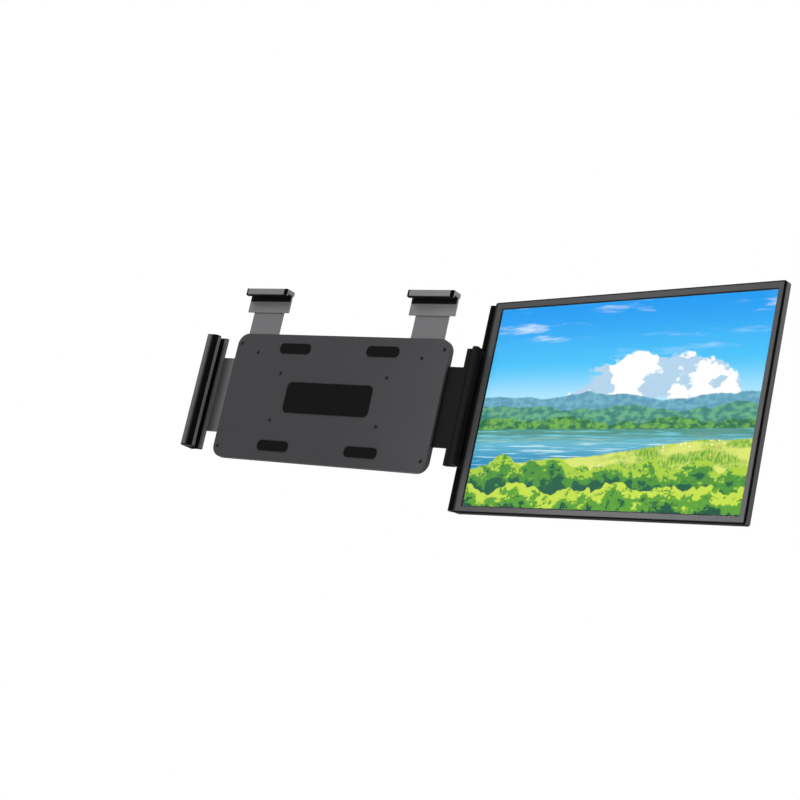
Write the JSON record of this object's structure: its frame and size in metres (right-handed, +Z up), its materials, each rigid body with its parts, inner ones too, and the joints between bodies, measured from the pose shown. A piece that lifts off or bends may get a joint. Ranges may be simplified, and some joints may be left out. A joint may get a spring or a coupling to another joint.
{
  "type": "clip-on portable touchscreen monitor",
  "caption": "Slim touchscreen monitor on a vertical friction hinge, carried by a sliding bracket that clips round the lid of a host computer.",
  "frame": {"origin": "on the soft face that rests on the back of the host lid, midway between the two hooks and halfway up the side clip", "axes": "+X to the user's right, +Y away from the user, through the bracket, +Z up the lid"},
  "size_m": [0.737, 0.0854, 0.2395],
  "materials": {
    "housing": "fine matt moulded plastic, charcoal",
    "clip_shell": "satin grey moulded plastic",
    "rubber": "soft black rubber",
    "arm_steel": "dark coated spring steel sheet",
    "arm_casting": "black anodised casting",
    "bezel": "satin charcoal plastic",
    "shell": "fine matt charcoal plastic",
    "screen_glass": "clear touch glass over a lit picture",
    "panel_glass": "liquid-crystal cell, lit from behind",
    "film": "white diffusing film",
    "clear_plastic": "clear acrylic",
    "tray_metal": "folded aluminium sheet",
    "board": "green fibreglass board with solder mask",
    "plated": "plated steel",
    "screw_black": "blackened steel",
    "hinge_metal": "black zinc-plated steel",
    "bronze": "sintered bronze friction sleeve",
    "ribbon": "amber polyimide ribbon",
    "button": "satin black plastic"
  },
  "bodies": {
    "bracket": {"bracket_front_plate": "housing", "bracket_rear_cover": "housing", "lid_rest_pads": "rubber", "bracket_screws": "screw_black", "fold_bumpers": "rubber", "arm_leaf_springs": "plated", "right_hinge_arm": "arm_casting", "right_clip_liner": "rubber", "right_arm_screws": "plated", "hinge_friction_sleeves": "bronze"},
    "left_slide": {"left_arm_plate": "arm_steel", "left_clip": "clip_shell", "left_clip_liner": "rubber", "left_clip_screws": "plated"},
    "hook_slide_left": {"hook_arm_plate_left": "arm_steel", "hook_clip_left": "clip_shell", "hook_clip_liner_left": "rubber", "hook_clip_screws_left": "plated"},
    "hook_slide_right": {"hook_arm_plate_right": "arm_steel", "hook_clip_right": "clip_shell", "hook_clip_liner_right": "rubber", "hook_clip_screws_right": "plated"},
    "power_button": {"power_button": "button"},
    "plus_button": {"plus_button": "button"},
    "minus_button": {"minus_button": "button"},
    "monitor": {"monitor_rear_shell": "shell", "monitor_front_bezel": "bezel", "touch_cover_glass": "screen_glass", "glass_gasket": "rubber", "lcd_cell": "panel_glass", "diffuser_films": "film", "light_guide_plate": "clear_plastic", "led_light_bar": "film", "panel_tray": "tray_metal", "main_board": "board", "board_shield_can": "plated", "usb_c_sockets": "plated", "mini_hdmi_socket": "plated", "button_board": "board", "push_switches": "screw_black", "panel_ribbon": "ribbon", "touch_ribbon": "ribbon", "button_ribbon": "ribbon", "board_screws": "plated", "rear_shell_screws": "screw_black", "hinge_leaf_upper": "hinge_metal", "hinge_leaf_lower": "hinge_metal", "hinge_shafts": "plated", "hinge_leaf_screws": "plated"}
  },
  "joints": [
    {"name": "monitor_hinge", "type": "hinge", "parent": "bracket", "child": "monitor", "pos_m": [0.186, 0.01645, 0], "axis": [0, 0, 1], "range_deg": [-30.6, 191.4]},
    {"name": "left_clip_slide", "type": "slide", "parent": "bracket", "child": "left_slide", "axis": [-1, 0, 0], "range_m": [-0.016, 0.03]},
    {"name": "hook_slide_left", "type": "slide", "parent": "bracket", "child": "hook_slide_left", "axis": [0, 0, 1], "range_m": [-0.018, 0.022]},
    {"name": "hook_slide_right", "type": "slide", "parent": "bracket", "child": "hook_slide_right", "axis": [0, 0, 1], "range_m": [-0.018, 0.022]},
    {"name": "power_button_press", "type": "slide", "parent": "monitor", "child": "power_button", "axis": [0, 0, -1], "range_m": [0, 0.0005], "stiffness_N_per_m": 2000},
    {"name": "plus_button_press", "type": "slide", "parent": "monitor", "child": "plus_button", "axis": [0, 0, -1], "range_m": [0, 0.0005], "stiffness_N_per_m": 2000},
    {"name": "minus_button_press", "type": "slide", "parent": "monitor", "child": "minus_button", "axis": [0, 0, -1], "range_m": [0, 0.0005], "stiffness_N_per_m": 2000}
  ]
}
